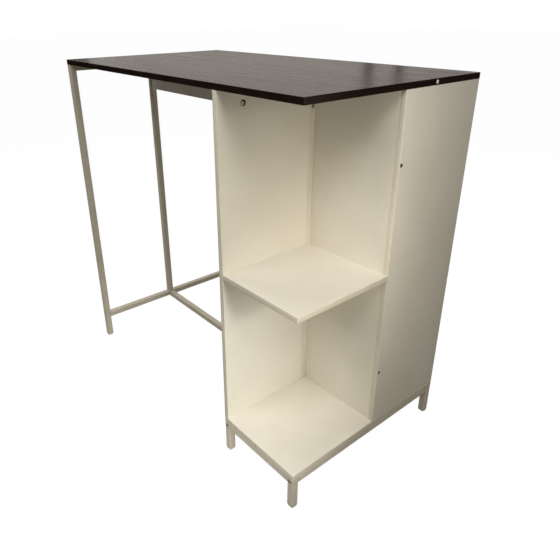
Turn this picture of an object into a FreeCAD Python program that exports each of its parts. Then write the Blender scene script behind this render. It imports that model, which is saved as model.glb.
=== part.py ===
"""Bar table with an open corner cabinet: laminated boards on a frame of square steel tube.

Frame: +X along the table from the leg frame to the cabinet, +Y from the front to the back, +Z up.
Origin: on the floor, under the middle of the top.  Lengths are millimetres.
"""
import FreeCAD
import Part
import Sketcher

import os

Vector = FreeCAD.Vector
Rotation = FreeCAD.Rotation

SIZES = [
    # overall sizes of the table
    ("table_length", 1100.0),
    ("table_depth", 600.0),
    ("table_height", 1047.0),
    ("cabinet_width", 288.0),
    # boards
    ("board_thickness", 15.0),
    ("board_edge_chamfer", 0.5),
    ("band_thickness", 1.0),
    ("band_edge_chamfer", 0.3),
    ("lower_clear_height", 452.0),
    ("apron_height", 100.0),
    # square steel tube
    ("tube_size", 20.0),
    ("tube_wall", 1.2),
    ("tube_corner_radius", 2.0),
    ("rail_underside", 81.0),
    # plastic foot caps
    ("cap_flange_height", 4.0),
    ("cap_edge_chamfer", 1.6),
    ("plug_clearance", 0.3),
    ("plug_length", 20.0),
    # machine bolts of the frame
    ("bolt_diameter", 5.0),
    ("bolt_hole_clearance", 0.6),
    ("bolt_head_diameter", 9.5),
    ("bolt_head_height", 2.4),
    ("bolt_head_crown", 0.8),
    ("bolt_end_allowance", 2.0),
    # bolts and barrel nuts of the apron
    ("apron_bolt_setdown", 66.0),
    ("apron_bolt_length", 62.0),
    ("barrel_nut_diameter", 10.0),
    ("barrel_nut_setback", 34.0),
    ("barrel_nut_margin", 1.0),
    # cam locks that hold the top
    ("cam_diameter", 14.4),
    ("cam_depth", 12.5),
    ("cam_setback", 34.0),
    ("cam_end_distance", 75.0),
    ("cam_slot_width", 1.8),
    ("cam_slot_depth", 2.2),
    ("cam_bolt_diameter", 6.4),
    ("cam_bolt_grip", 9.0),
    # confirmat screws through the boards
    ("screw_head_diameter", 9.4),
    ("screw_head_height", 3.6),
    ("screw_shank_diameter", 6.0),
    ("screw_length", 50.0),
    ("divider_screw_inset", 168.0),
    # white plug in the right edge of the top
    ("edge_plug_diameter", 9.0),
    ("edge_plug_length", 12.0),
    # clearance round everything that sits in a bore, and the spare depth past its end
    ("fit_clearance", 0.3),
    ("bore_overrun", 1.0),
]

# Places worked out from the sizes, as expressions of the sheet
LENGTH = "Sizes.table_length"
DEPTH = "Sizes.table_depth"
HEIGHT = "Sizes.table_height"
BOARD = "Sizes.board_thickness"
BAND = "Sizes.band_thickness"
TUBE = "Sizes.tube_size"
WALL = "Sizes.tube_wall"
FIT = "Sizes.fit_clearance"
ZERO = "0"


def total(*terms):
    """Join terms with plus signs into one bracketed expression."""
    return "(" + " + ".join(terms) + ")"


def less(first, *others):
    """Take the other terms away from the first."""
    return "(" + " - ".join((first,) + others) + ")"


def half(term):
    """Halve an expression."""
    return "(" + term + " / 2)"


RAIL_BOTTOM = "Sizes.rail_underside"
RAIL_TOP = total(RAIL_BOTTOM, TUBE)
BOTTOM_BOARD_TOP = total(RAIL_TOP, BOARD)
TOP_UNDERSIDE = less(HEIGHT, BOARD)
PANEL_HEIGHT = less(TOP_UNDERSIDE, BOTTOM_BOARD_TOP)
CABINET_LEFT = less(LENGTH, "Sizes.cabinet_width")
PANEL_INNER = total(CABINET_LEFT, BOARD)
SCREW_LINE = half(BOARD)
MIDDLE_FRONT = half(less(DEPTH, TUBE))
MIDDLE_BACK = half(total(DEPTH, TUBE))
DIVIDER_BACK = total(MIDDLE_BACK, BOARD)
CENTRE_LINE = half(DEPTH)
SHELF_BOTTOM = total(BOTTOM_BOARD_TOP, "Sizes.lower_clear_height")
APRON_FRONT = half(less(DEPTH, BOARD))
APRON_BOTTOM = less(TOP_UNDERSIDE, "Sizes.apron_height")
FOOT = "Sizes.cap_flange_height"
BOLT_HOLE = total("Sizes.bolt_diameter", "Sizes.bolt_hole_clearance")
PLUG_SIDE = less(TUBE, WALL, WALL, "Sizes.plug_clearance", "Sizes.plug_clearance")

doc = FreeCAD.newDocument("bar_table")
sheet = doc.addObject("Spreadsheet::Sheet", "Sizes")
for row, (alias, value) in enumerate(SIZES, start=1):
    cell = "B" + str(row)
    sheet.set("A" + str(row), alias)
    sheet.set(cell, str(value))
    sheet.setAlias(cell, alias)
doc.recompute()

nodes = []
# What every line of a sketch measures before its dimensions move it
ROUGH = sheet.board_thickness


def keep(shape_object, label):
    """Give a finished sub-part its label and remember it for the export."""
    shape_object.Label = label
    nodes.append(shape_object)
    return shape_object


def place(thing, x=ZERO, y=ZERO, z=ZERO):
    """Bind a position, which is given from the front left corner on the floor, to the table's frame."""
    for axis, expression in zip("xyz", (less(x, half(LENGTH)), less(y, half(DEPTH)), z)):
        thing.setExpression("Placement.Base." + axis, expression)


def origin_plane(body, role):
    """Find one of a body's own origin planes by its role."""
    return [plane for plane in body.Origin.OriginFeatures if plane.Role == role][0]


def new_sketch(body, name, role, offset=ZERO):
    """Attach a sketch to an origin plane of the body, moved along its normal by an expression."""
    sketch = body.newObject("Sketcher::SketchObject", name)
    sketch.AttachmentSupport = [(origin_plane(body, role), "")]
    sketch.MapMode = "FlatFace"
    if offset != ZERO:
        sketch.setExpression("AttachmentOffset.Base.z", offset)
    return sketch


def add_rectangle(sketch, left, low, width, rise):
    """Draw a rectangle whose corner and sides follow expressions."""
    first = sketch.GeometryCount
    corners = [Vector(across, up, 0) for across, up in ((0, 0), (ROUGH, 0), (ROUGH, ROUGH), (0, ROUGH))]
    for index, corner in enumerate(corners):
        sketch.addGeometry(Part.LineSegment(corner, corners[(index + 1) % 4]))
    for index in range(4):
        sketch.addConstraint(Sketcher.Constraint("Coincident", first + index, 2, first + (index + 1) % 4, 1))
    for index, kind in enumerate(["Horizontal", "Vertical", "Horizontal", "Vertical"]):
        sketch.addConstraint(Sketcher.Constraint(kind, first + index))
    dimension(sketch, ("DistanceX", first, 1, first, 2), width)
    dimension(sketch, ("DistanceY", first + 1, 1, first + 1, 2), rise)
    fix_point(sketch, first, 1, left, low)


def add_centred_rectangle(sketch, width, rise):
    """Draw a rectangle about the sketch's origin whose sides follow expressions."""
    corners = [Vector(across * ROUGH, up * ROUGH, 0) for across, up in ((-1, -1), (1, -1), (1, 1), (-1, 1))]
    for index, corner in enumerate(corners):
        sketch.addGeometry(Part.LineSegment(corner, corners[(index + 1) % 4]))
    for index in range(4):
        sketch.addConstraint(Sketcher.Constraint("Coincident", index, 2, (index + 1) % 4, 1))
    for index, kind in enumerate(["Horizontal", "Vertical", "Horizontal", "Vertical"]):
        sketch.addConstraint(Sketcher.Constraint(kind, index))
    sketch.addConstraint(Sketcher.Constraint("Symmetric", 0, 1, 2, 1, -1, 1))
    dimension(sketch, ("DistanceX", 0, 1, 0, 2), width)
    dimension(sketch, ("DistanceY", 1, 1, 1, 2), rise)


def dimension(sketch, constraint, expression):
    """Add a dimension to a sketch and bind its value to an expression."""
    index = sketch.addConstraint(Sketcher.Constraint(*constraint, ROUGH))
    sketch.setExpression("Constraints[" + str(index) + "]", expression)


def fix_point(sketch, geometry, point, across, up):
    """Hold a point of a sketch at expressions of its two axes."""
    for kind, expression in (("DistanceX", across), ("DistanceY", up)):
        if expression == ZERO:
            axis = -2 if kind == "DistanceX" else -1
            sketch.addConstraint(Sketcher.Constraint("PointOnObject", geometry, point, axis))
        else:
            dimension(sketch, (kind, -1, 1, geometry, point), expression)


def add_circle(sketch, across, up, diameter):
    """Draw a circle whose centre and diameter follow expressions."""
    index = sketch.addGeometry(Part.Circle(Vector(ROUGH, ROUGH, 0), Vector(0, 0, 1), ROUGH))
    dimension(sketch, ("Diameter", index), diameter)
    fix_point(sketch, index, 3, across, up)


def pad(body, sketch, length, reverse=False):
    """Extrude a sketch by an expression."""
    feature = body.newObject("PartDesign::Pad", body.Name + "_Pad")
    feature.Profile = sketch
    feature.Reversed = reverse
    feature.setExpression("Length", length)
    doc.recompute()
    return feature


def pocket(body, sketch, depth, reverse=False):
    """Cut a sketch into the body and make sure that it removed material."""
    before = body.Shape.Volume
    feature = body.newObject("PartDesign::Pocket", body.Name + "_Pocket")
    feature.Profile = sketch
    feature.Reversed = reverse
    feature.setExpression("Length", depth)
    doc.recompute()
    if body.Shape.Volume >= before:
        raise ValueError("a pocket of " + body.Name + " cut nothing")
    return feature


def edges_along(shape, direction, accept):
    """Name the straight edges along a direction whose middle point is accepted."""
    names = []
    for index, edge in enumerate(shape.Edges, start=1):
        if not isinstance(edge.Curve, Part.Line):
            continue
        along = edge.tangentAt(edge.FirstParameter)
        if round(abs(along.dot(direction)), 3) == 1 and accept(edge.CenterOfMass):
            names.append("Edge" + str(index))
    return names


def board(name, across, deep, tall, chamfer="Sizes.board_edge_chamfer", eased=None):
    """Make a board, its corner at the body's origin, with all or only the chosen edges lightly broken."""
    body = doc.addObject("PartDesign::Body", name)
    sketch = new_sketch(body, name + "_Outline", "XY_Plane")
    add_rectangle(sketch, ZERO, ZERO, across, deep)
    feature = pad(body, sketch, tall)
    if eased is None:
        eased = ["Edge" + str(index) for index in range(1, len(feature.Shape.Edges) + 1)]
    if eased:
        ease = body.newObject("PartDesign::Chamfer", name + "_Eased")
        ease.Base = (feature, eased(feature.Shape) if callable(eased) else eased)
        ease.setExpression("Size", chamfer)
        doc.recompute()
    return keep(body, name)


def bores(body, role, places, diameter, depth, offset=ZERO, reverse=False):
    """Cut round holes of one diameter and depth into a body, at pairs of expressions."""
    sketch = new_sketch(body, body.Name + "_Bores", role, offset)
    for across, up in places:
        add_circle(sketch, across, up, diameter)
    doc.recompute()
    return pocket(body, sketch, depth, reverse)


TUBE_PLANES = {
    # direction of the tube: sketch plane, pad reversed, axis
    "x": ("YZ_Plane", False, Vector(1, 0, 0)),
    "y": ("XZ_Plane", True, Vector(0, 1, 0)),
    "z": ("XY_Plane", False, Vector(0, 0, 1)),
}


def tube(name, direction, length, across=TUBE):
    """Make a tube with rounded outer corners, its corner at the body's origin."""
    role, reverse, axis = TUBE_PLANES[direction]
    body = doc.addObject("PartDesign::Body", name)
    sketch = new_sketch(body, name + "_Section", role)
    add_rectangle(sketch, ZERO, ZERO, across, TUBE)
    add_rectangle(sketch, WALL, WALL, less(across, WALL, WALL), less(TUBE, WALL, WALL))
    feature = pad(body, sketch, length, reverse)
    box = feature.Shape.BoundBox
    middle = box.Center
    reach = sheet.tube_wall / 4

    def is_outer(point):
        for part, value, centre, low in zip(axis, point, middle, (box.XMin, box.YMin, box.ZMin)):
            if not part and abs(value - centre) < centre - low - reach:
                return False
        return True

    rounded = body.newObject("PartDesign::Fillet", name + "_Rounded")
    rounded.Base = (feature, edges_along(feature.Shape, axis, is_outer))
    rounded.setExpression("Radius", "Sizes.tube_corner_radius")
    doc.recompute()
    return keep(body, name)


def turned(name, outline):
    """Revolve an outline round the Z axis: pairs of expressions (radius, height), radius first to last."""
    body = doc.addObject("PartDesign::Body", name)
    sketch = new_sketch(body, name + "_Profile", "XZ_Plane")
    count = len(outline)
    rough = [Vector((1 + index % 3) * ROUGH, (1 + index) * ROUGH, 0) for index in range(count)]
    for index in range(count):
        sketch.addGeometry(Part.LineSegment(rough[index], rough[(index + 1) % count]))
    for index in range(count):
        sketch.addConstraint(Sketcher.Constraint("Coincident", index, 2, (index + 1) % count, 1))
    for index, (radius, height) in enumerate(outline):
        fix_point(sketch, index, 1, radius, height)
    feature = body.newObject("PartDesign::Revolution", name + "_Turned")
    feature.Profile = sketch
    feature.ReferenceAxis = (sketch, ["V_Axis"])
    feature.Angle = 360.0
    doc.recompute()
    return body


def group(label, master, places):
    """Gather identical pieces: each place is a rotation and three expressions."""
    links = []
    for index, (rotation, x, y, z) in enumerate(places, start=1):
        link = doc.addObject("App::Link", label + "_" + str(index))
        link.LinkedObject = master
        link.Placement = FreeCAD.Placement(Vector(0, 0, 0), rotation)
        place(link, x, y, z)
        links.append(link)
    compound = doc.addObject("Part::Compound", label)
    compound.Links = links
    return keep(compound, label)


# Turns that bring a piece's own +Z axis onto an axis of the table
UP = Rotation()
TO_RIGHT = Rotation(Vector(0, 1, 0), 90)
TO_LEFT = Rotation(Vector(0, 1, 0), -90)
TO_BACK = Rotation(Vector(1, 0, 0), -90)


def wider(diameter):
    """Give the diameter of the bore that a round piece fits."""
    return total(diameter, FIT, FIT)


# Places of the fittings
CAM = "Sizes.cam_end_distance"
LEFT_PANEL_LINE = total(CABINET_LEFT, SCREW_LINE)
RIGHT_PANEL_LINE = less(LENGTH, SCREW_LINE)
DIVIDER_LINE = total(MIDDLE_BACK, SCREW_LINE)
SHELF_LINE = total(SHELF_BOTTOM, SCREW_LINE)
DIVIDER_RIGHT = less(LENGTH, BOARD)
DIVIDER_WIDTH = less(DIVIDER_RIGHT, CABINET_LEFT)
SIDE_PANEL_DEPTH = MIDDLE_FRONT
LEFT_PANEL_PLACES = [CAM, less(MIDDLE_FRONT, CAM)]
RIGHT_PANEL_PLACES = [total(MIDDLE_BACK, CAM), less(DEPTH, CAM)]
APRON_LENGTH = less(CABINET_LEFT, TUBE)
APRON_BOLT_HEIGHT = less(TOP_UNDERSIDE, "Sizes.apron_bolt_setdown")
DIVIDER_SCREW_HEIGHTS = [
    total(BOTTOM_BOARD_TOP, "Sizes.divider_screw_inset"),
    less(TOP_UNDERSIDE, "Sizes.divider_screw_inset"),
]
RAIL_LINE = total(RAIL_BOTTOM, half(TUBE))
CAM_LINE = less(TOP_UNDERSIDE, "Sizes.cam_setback")
CAM_BORE = wider("Sizes.cam_diameter")
CAM_BOLT_BORE = wider("Sizes.cam_bolt_diameter")
CAM_BOLT_DROP = less("Sizes.cam_setback", half("Sizes.cam_diameter"))
SCREW_HEAD_BORE = wider("Sizes.screw_head_diameter")
SCREW_BORE = wider("Sizes.screw_shank_diameter")
SCREW_BITE = less(total("Sizes.screw_length", "Sizes.bore_overrun"), BOARD)
APRON_BORE = less(total("Sizes.apron_bolt_length", "Sizes.bore_overrun"), BOARD)


def pairs(first, second):
    """Pair every place of the first list with every place of the second."""
    return [(one, other) for one in first for other in second]


def moved(places, across, up):
    """Take a body's own position away from pairs of places."""
    return [(less(one, across), less(other, up)) for one, other in places]


CAM_BOLT_PLACES = (
    pairs([LEFT_PANEL_LINE], LEFT_PANEL_PLACES)
    + pairs([RIGHT_PANEL_LINE], RIGHT_PANEL_PLACES)
)


# Table top: a core with four edge bands
top = board("table_top", less(LENGTH, BAND, BAND), less(DEPTH, BAND, BAND), BOARD, eased=[])
place(top, BAND, BAND, TOP_UNDERSIDE)
bores(top, "XY_Plane", moved(CAM_BOLT_PLACES, BAND, BAND), CAM_BOLT_BORE, "Sizes.cam_bolt_grip", reverse=True)
EDGE_PLUG_SHARE = 0.7
EDGE_PLUG_LINE = "(" + DEPTH + " * " + str(EDGE_PLUG_SHARE) + ")"
edge_plug_place = [(less(EDGE_PLUG_LINE, BAND), SCREW_LINE)]
EDGE_PLUG_BORE = wider("Sizes.edge_plug_diameter")
bores(top, "YZ_Plane", edge_plug_place, EDGE_PLUG_BORE, less("Sizes.edge_plug_length", BAND),
      offset=less(LENGTH, BAND, BAND))


def outer_edges(axis_index, level):
    """Choose the edges of a band that lie on its outer face."""
    def choose(shape):
        names = []
        for index, edge in enumerate(shape.Edges, start=1):
            middle = edge.CenterOfMass[axis_index]
            if abs(middle - level(shape.BoundBox)) < sheet.band_thickness / 4:
                names.append("Edge" + str(index))
        return names

    return choose


BAND_CHAMFER = "Sizes.band_edge_chamfer"
BAND_FRONT_EDGES = outer_edges(1, lambda box: box.YMin)
BAND_BACK_EDGES = outer_edges(1, lambda box: box.YMax)
band = board("top_band_front", LENGTH, BAND, BOARD, BAND_CHAMFER, BAND_FRONT_EDGES)
place(band, z=TOP_UNDERSIDE)
band = board("top_band_back", LENGTH, BAND, BOARD, BAND_CHAMFER, BAND_BACK_EDGES)
place(band, y=less(DEPTH, BAND), z=TOP_UNDERSIDE)
SIDE_BAND_LENGTH = less(DEPTH, BAND, BAND)
band = board("top_band_left", BAND, SIDE_BAND_LENGTH, BOARD, BAND_CHAMFER, outer_edges(0, lambda box: box.XMin))
place(band, y=BAND, z=TOP_UNDERSIDE)
band = board("top_band_right", BAND, SIDE_BAND_LENGTH, BOARD, BAND_CHAMFER, outer_edges(0, lambda box: box.XMax))
place(band, less(LENGTH, BAND), BAND, TOP_UNDERSIDE)
bores(band, "YZ_Plane", edge_plug_place, EDGE_PLUG_BORE, BAND, offset=BAND)

# Left panel, in the front half
panel = board("left_panel", BOARD, SIDE_PANEL_DEPTH, PANEL_HEIGHT)
place(panel, CABINET_LEFT, ZERO, BOTTOM_BOARD_TOP)
panel_cams = pairs(LEFT_PANEL_PLACES, [less(CAM_LINE, BOTTOM_BOARD_TOP)])
bores(panel, "YZ_Plane", panel_cams, CAM_BORE, "Sizes.cam_depth", offset=BOARD)
panel_line = pairs([SCREW_LINE], LEFT_PANEL_PLACES)
bores(panel, "XY_Plane", panel_line, CAM_BOLT_BORE, CAM_BOLT_DROP, offset=PANEL_HEIGHT)
# Right panel, in the back half
panel = board("right_panel", BOARD, SIDE_PANEL_DEPTH, PANEL_HEIGHT)
place(panel, DIVIDER_RIGHT, MIDDLE_BACK, BOTTOM_BOARD_TOP)
local_places = [CAM, less(SIDE_PANEL_DEPTH, CAM)]
bores(panel, "YZ_Plane", pairs(local_places, [less(CAM_LINE, BOTTOM_BOARD_TOP)]), CAM_BORE, "Sizes.cam_depth",
      reverse=True)
panel_line = pairs([SCREW_LINE], local_places)
bores(panel, "XY_Plane", panel_line, CAM_BOLT_BORE, CAM_BOLT_DROP, offset=PANEL_HEIGHT)
divider_screws = pairs([SCREW_LINE], [less(level, BOTTOM_BOARD_TOP) for level in DIVIDER_SCREW_HEIGHTS])
bores(panel, "YZ_Plane", divider_screws, SCREW_HEAD_BORE, "Sizes.screw_head_height", offset=BOARD)
bores(panel, "YZ_Plane", divider_screws, SCREW_BORE, BOARD, offset=BOARD)
# Divider, just behind the centre line
divider = board("divider_panel", DIVIDER_WIDTH, BOARD, PANEL_HEIGHT)
place(divider, CABINET_LEFT, MIDDLE_BACK, BOTTOM_BOARD_TOP)
bores(divider, "YZ_Plane", divider_screws, SCREW_BORE, SCREW_BITE, offset=DIVIDER_WIDTH)
# Bottom board
bottom = board("bottom_board", "Sizes.cabinet_width", DEPTH, BOARD)
place(bottom, CABINET_LEFT, ZERO, RAIL_TOP)
# Shelves at mid height: the front one open to the right, the back one open to the left
shelf = board("front_shelf", less(LENGTH, PANEL_INNER), MIDDLE_BACK, BOARD)
place(shelf, PANEL_INNER, ZERO, SHELF_BOTTOM)
shelf = board("back_shelf", DIVIDER_WIDTH, less(DEPTH, DIVIDER_BACK), BOARD)
place(shelf, CABINET_LEFT, DIVIDER_BACK, SHELF_BOTTOM)
# Apron under the top, on the centre line
apron = board("apron_board", APRON_LENGTH, BOARD, "Sizes.apron_height")
place(apron, TUBE, APRON_FRONT, APRON_BOTTOM)
apron_bolt = [(SCREW_LINE, less(APRON_BOLT_HEIGHT, APRON_BOTTOM))]
bores(apron, "YZ_Plane", apron_bolt, BOLT_HOLE, APRON_BORE, reverse=True)
bores(apron, "YZ_Plane", apron_bolt, BOLT_HOLE, APRON_BORE, offset=APRON_LENGTH)
NUT_ENDS = ["Sizes.barrel_nut_setback", less(APRON_LENGTH, "Sizes.barrel_nut_setback")]
nut_places = pairs(NUT_ENDS, [less(APRON_BOLT_HEIGHT, APRON_BOTTOM)])
NUT_BORE = wider("Sizes.barrel_nut_diameter")
bores(apron, "XZ_Plane", nut_places, NUT_BORE, less(BOARD, "Sizes.barrel_nut_margin"), offset="-" + BOARD,
      reverse=True)
# Leg frame at the left end
LEG_HEIGHT = less(TOP_UNDERSIDE, FOOT)
SIDE_RAIL_LENGTH = less(DEPTH, TUBE, TUBE)
leg = tube("front_left_leg", "z", LEG_HEIGHT)
place(leg, z=FOOT)
leg = tube("back_left_leg", "z", LEG_HEIGHT)
place(leg, y=less(DEPTH, TUBE), z=FOOT)
rail = tube("upper_side_rail", "y", SIDE_RAIL_LENGTH)
place(rail, y=TUBE, z=less(TOP_UNDERSIDE, TUBE))
rail = tube("lower_side_rail", "y", SIDE_RAIL_LENGTH)
place(rail, y=TUBE, z=RAIL_BOTTOM)
post = tube("middle_post", "z", less(TOP_UNDERSIDE, TUBE, RAIL_TOP))
place(post, y=MIDDLE_FRONT, z=RAIL_TOP)
post_holes = [(half(TUBE), less(APRON_BOLT_HEIGHT, RAIL_TOP))]
bores(post, "YZ_Plane", post_holes, BOLT_HOLE, TUBE, reverse=True)

# Centre stretcher and the post at the cabinet
tube("centre_stretcher", "x", less(CABINET_LEFT, TUBE))
place(nodes[-1], TUBE, MIDDLE_FRONT, RAIL_BOTTOM)
post = tube("cabinet_post", "z", PANEL_HEIGHT, across=BOARD)
place(post, CABINET_LEFT, MIDDLE_FRONT, BOTTOM_BOARD_TOP)
post_holes = [(half(TUBE), less(APRON_BOLT_HEIGHT, BOTTOM_BOARD_TOP))]
bores(post, "YZ_Plane", post_holes, BOLT_HOLE, BOARD, reverse=True)

# Base frame of the cabinet: four short legs and four rails
LEG_COLUMNS = {"left": CABINET_LEFT, "right": less(LENGTH, TUBE)}
LEG_ROWS = {"front": ZERO, "back": less(DEPTH, TUBE)}
for row_name, row_place in LEG_ROWS.items():
    for column_name, column_place in LEG_COLUMNS.items():
        leg = tube("base_leg_" + row_name + "_" + column_name, "z", less(RAIL_TOP, FOOT))
        place(leg, column_place, row_place, FOOT)
        if row_name == "front":
            bores(leg, "XZ_Plane", [(half(TUBE), less(RAIL_LINE, FOOT))], BOLT_HOLE, TUBE)
    rail = tube("base_" + row_name + "_rail", "x", less("Sizes.cabinet_width", TUBE, TUBE))
    place(rail, total(CABINET_LEFT, TUBE), row_place, RAIL_BOTTOM)
for column_name, column_place in LEG_COLUMNS.items():
    rail = tube("base_" + column_name + "_rail", "y", SIDE_RAIL_LENGTH)
    place(rail, column_place, TUBE, RAIL_BOTTOM)


# Plastic foot caps: a flange under the tube with its edges broken, and a square plug inside it
cap = doc.addObject("PartDesign::Body", "Foot_Cap")
sketch = new_sketch(cap, "Foot_Cap_Flange", "XY_Plane")
add_centred_rectangle(sketch, TUBE, TUBE)
flange = pad(cap, sketch, FOOT)
ease = cap.newObject("PartDesign::Chamfer", "Foot_Cap_Eased")
lower_edges = [
    "Edge" + str(index)
    for index, edge in enumerate(flange.Shape.Edges, start=1)
    if edge.CenterOfMass.z < sheet.cap_flange_height - sheet.cap_edge_chamfer
]
ease.Base = (flange, lower_edges)
ease.setExpression("Size", "Sizes.cap_edge_chamfer")
doc.recompute()
sketch = new_sketch(cap, "Foot_Cap_Plug", "XY_Plane", FOOT)
add_centred_rectangle(sketch, PLUG_SIDE, PLUG_SIDE)
pad(cap, sketch, "Sizes.plug_length")
BASE_LINES = [total(CABINET_LEFT, half(TUBE)), less(LENGTH, half(TUBE))]
foot_places = pairs([half(TUBE)] + BASE_LINES, [half(TUBE), less(DEPTH, half(TUBE))])
group("foot_caps", cap, [(UP, x, y, ZERO) for x, y in foot_places])


def bolt(name, shank_length):
    """Make a machine bolt with a crowned head: the head's outer face is at the origin, the shank on +Z."""
    head = half("Sizes.bolt_head_diameter")
    crown = "Sizes.bolt_head_crown"
    head_height = "Sizes.bolt_head_height"
    shank = half("Sizes.bolt_diameter")
    end = total(head_height, shank_length)
    return turned(name, [
        (ZERO, ZERO),
        (less(head, crown), ZERO),
        (head, crown),
        (head, head_height),
        (shank, head_height),
        (shank, end),
        (ZERO, end),
    ])


# Bolts through the base's front legs into its side rails and, longer, through the posts into the apron
HEAD = "Sizes.bolt_head_height"
frame_bolt = bolt("Frame_Bolt", total(TUBE, "Sizes.bolt_end_allowance"))
group("frame_bolts", frame_bolt, [(TO_BACK, x, "-" + HEAD, RAIL_LINE) for x in BASE_LINES])
apron_bolt = bolt("Apron_Bolt", "Sizes.apron_bolt_length")
group("apron_bolts", apron_bolt, [
    (TO_RIGHT, "-" + HEAD, CENTRE_LINE, APRON_BOLT_HEIGHT),
    (TO_LEFT, total(PANEL_INNER, HEAD), CENTRE_LINE, APRON_BOLT_HEIGHT),
])

# Barrel nuts of the apron, each with a cross bore for its bolt
NUT_LENGTH = less(BOARD, "Sizes.barrel_nut_margin", "Sizes.barrel_nut_margin")
nut = doc.addObject("PartDesign::Body", "Barrel_Nut")
sketch = new_sketch(nut, "Barrel_Nut_Section", "XY_Plane")
add_circle(sketch, ZERO, ZERO, "Sizes.barrel_nut_diameter")
pad(nut, sketch, NUT_LENGTH)
bores(nut, "YZ_Plane", [(ZERO, half(NUT_LENGTH))], BOLT_HOLE, "Sizes.barrel_nut_diameter",
      offset=half("Sizes.barrel_nut_diameter"))
group("barrel_nuts", nut, [
    (TO_BACK, total(TUBE, x), total(APRON_FRONT, "Sizes.barrel_nut_margin"), APRON_BOLT_HEIGHT)
    for x in NUT_ENDS
])

# Cam locks: a disc with a screwdriver slot, flush in the panel's face, and the bolt that it holds
cam = doc.addObject("PartDesign::Body", "Cam_Lock")
sketch = new_sketch(cam, "Cam_Lock_Section", "XY_Plane")
add_circle(sketch, ZERO, ZERO, "Sizes.cam_diameter")
pad(cam, sketch, "Sizes.cam_depth")
sketch = new_sketch(cam, "Cam_Lock_Slot", "XY_Plane")
add_centred_rectangle(sketch, half("Sizes.cam_diameter"), "Sizes.cam_slot_width")
doc.recompute()
pocket(cam, sketch, "Sizes.cam_slot_depth", reverse=True)
group("cam_locks", cam, [
    *[(TO_LEFT, PANEL_INNER, y, CAM_LINE) for y in LEFT_PANEL_PLACES],
    *[(TO_RIGHT, DIVIDER_RIGHT, y, CAM_LINE) for y in RIGHT_PANEL_PLACES],
])
CAM_BOLT_LENGTH = total("Sizes.cam_bolt_grip", less(CAM_BOLT_DROP, FIT))
cam_bolt = turned("Cam_Bolt", [
    (ZERO, ZERO),
    (half("Sizes.cam_bolt_diameter"), ZERO),
    (half("Sizes.cam_bolt_diameter"), CAM_BOLT_LENGTH),
    (ZERO, CAM_BOLT_LENGTH),
])
CAM_BOLT_END = less(TOP_UNDERSIDE, less(CAM_BOLT_DROP, FIT))
group("cam_bolts", cam_bolt, [(UP, x, y, CAM_BOLT_END) for x, y in CAM_BOLT_PLACES])

# Screws through the right panel into the divider's edge, their stepped heads flush with the panel
confirmat = turned("Confirmat_Screw", [
    (ZERO, ZERO),
    (half("Sizes.screw_head_diameter"), ZERO),
    (half("Sizes.screw_head_diameter"), "Sizes.screw_head_height"),
    (half("Sizes.screw_shank_diameter"), "Sizes.screw_head_height"),
    (half("Sizes.screw_shank_diameter"), "Sizes.screw_length"),
    (ZERO, "Sizes.screw_length"),
])
group("confirmat_screws", confirmat, [(TO_LEFT, LENGTH, DIVIDER_LINE, level) for level in DIVIDER_SCREW_HEIGHTS])

# White plug in the right edge of the top
edge_plug = turned("edge_plug", [
    (ZERO, ZERO),
    (half("Sizes.edge_plug_diameter"), ZERO),
    (half("Sizes.edge_plug_diameter"), "Sizes.edge_plug_length"),
    (ZERO, "Sizes.edge_plug_length"),
])
edge_plug.Placement = FreeCAD.Placement(Vector(0, 0, 0), TO_LEFT)
place(edge_plug, LENGTH, EDGE_PLUG_LINE, less(HEIGHT, SCREW_LINE))
keep(edge_plug, "edge_plug")

doc.recompute()
for item in doc.Objects:
    if "Invalid" in item.State or "Error" in item.State:
        raise ValueError(item.Name + " is " + ", ".join(item.State))
os.makedirs("parts", exist_ok=True)
for node in nodes:
    if node.Shape.isNull() or not node.Shape.isValid() or not node.Shape.Solids:
        raise ValueError(node.Label + " has no valid shape")
for node in nodes:
    node.Shape.exportStep("parts/" + node.Label + ".step")
    print(node.Label, len(node.Shape.Solids), round(node.Shape.Volume))
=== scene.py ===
"""Looks, light and camera of a bar table with an open corner cabinet.

Metres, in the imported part's frame: +X from the leg frame to the cabinet, +Y to the back, +Z up, origin on the
floor under the middle of the top.
"""
import logging
import math
from dataclasses import dataclass, field
from enum import Enum
from typing import ClassVar

import bmesh
import bpy
from mathutils import Matrix, Vector


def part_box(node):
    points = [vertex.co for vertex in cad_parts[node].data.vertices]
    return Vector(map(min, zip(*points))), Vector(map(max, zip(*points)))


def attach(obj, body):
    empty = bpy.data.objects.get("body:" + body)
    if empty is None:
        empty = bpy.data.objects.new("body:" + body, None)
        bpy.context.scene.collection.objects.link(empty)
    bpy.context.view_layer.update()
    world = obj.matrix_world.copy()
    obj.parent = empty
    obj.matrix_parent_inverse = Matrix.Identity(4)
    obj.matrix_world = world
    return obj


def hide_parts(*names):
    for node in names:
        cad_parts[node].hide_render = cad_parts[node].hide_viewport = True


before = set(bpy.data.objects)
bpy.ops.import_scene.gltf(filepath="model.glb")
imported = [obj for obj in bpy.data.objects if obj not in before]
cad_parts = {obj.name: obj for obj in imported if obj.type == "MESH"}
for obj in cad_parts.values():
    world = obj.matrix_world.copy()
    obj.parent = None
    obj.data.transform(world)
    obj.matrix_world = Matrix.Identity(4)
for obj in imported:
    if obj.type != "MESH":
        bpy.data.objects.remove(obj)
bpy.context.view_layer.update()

LOG = logging.getLogger("bar_table")
MM = 0.001
TOUCH = 1e-6  # metres: points nearer than this are one point
BODY = "root"

MIX_A, MIX_B, MIX_RESULT = 6, 7, 2  # a Mix node's colour sockets, by number because they share their names
BEVEL_SAMPLES = 6
BLOCK_FACETS = 2  # across each rounded edge of a block
FACE_DOT, EDGE_DOT = 0.98, 0.8  # how well the true and the rounded normal agree on a face and at an edge

Socket = bpy.types.NodeSocket
Point = tuple[float, float, float]


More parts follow.
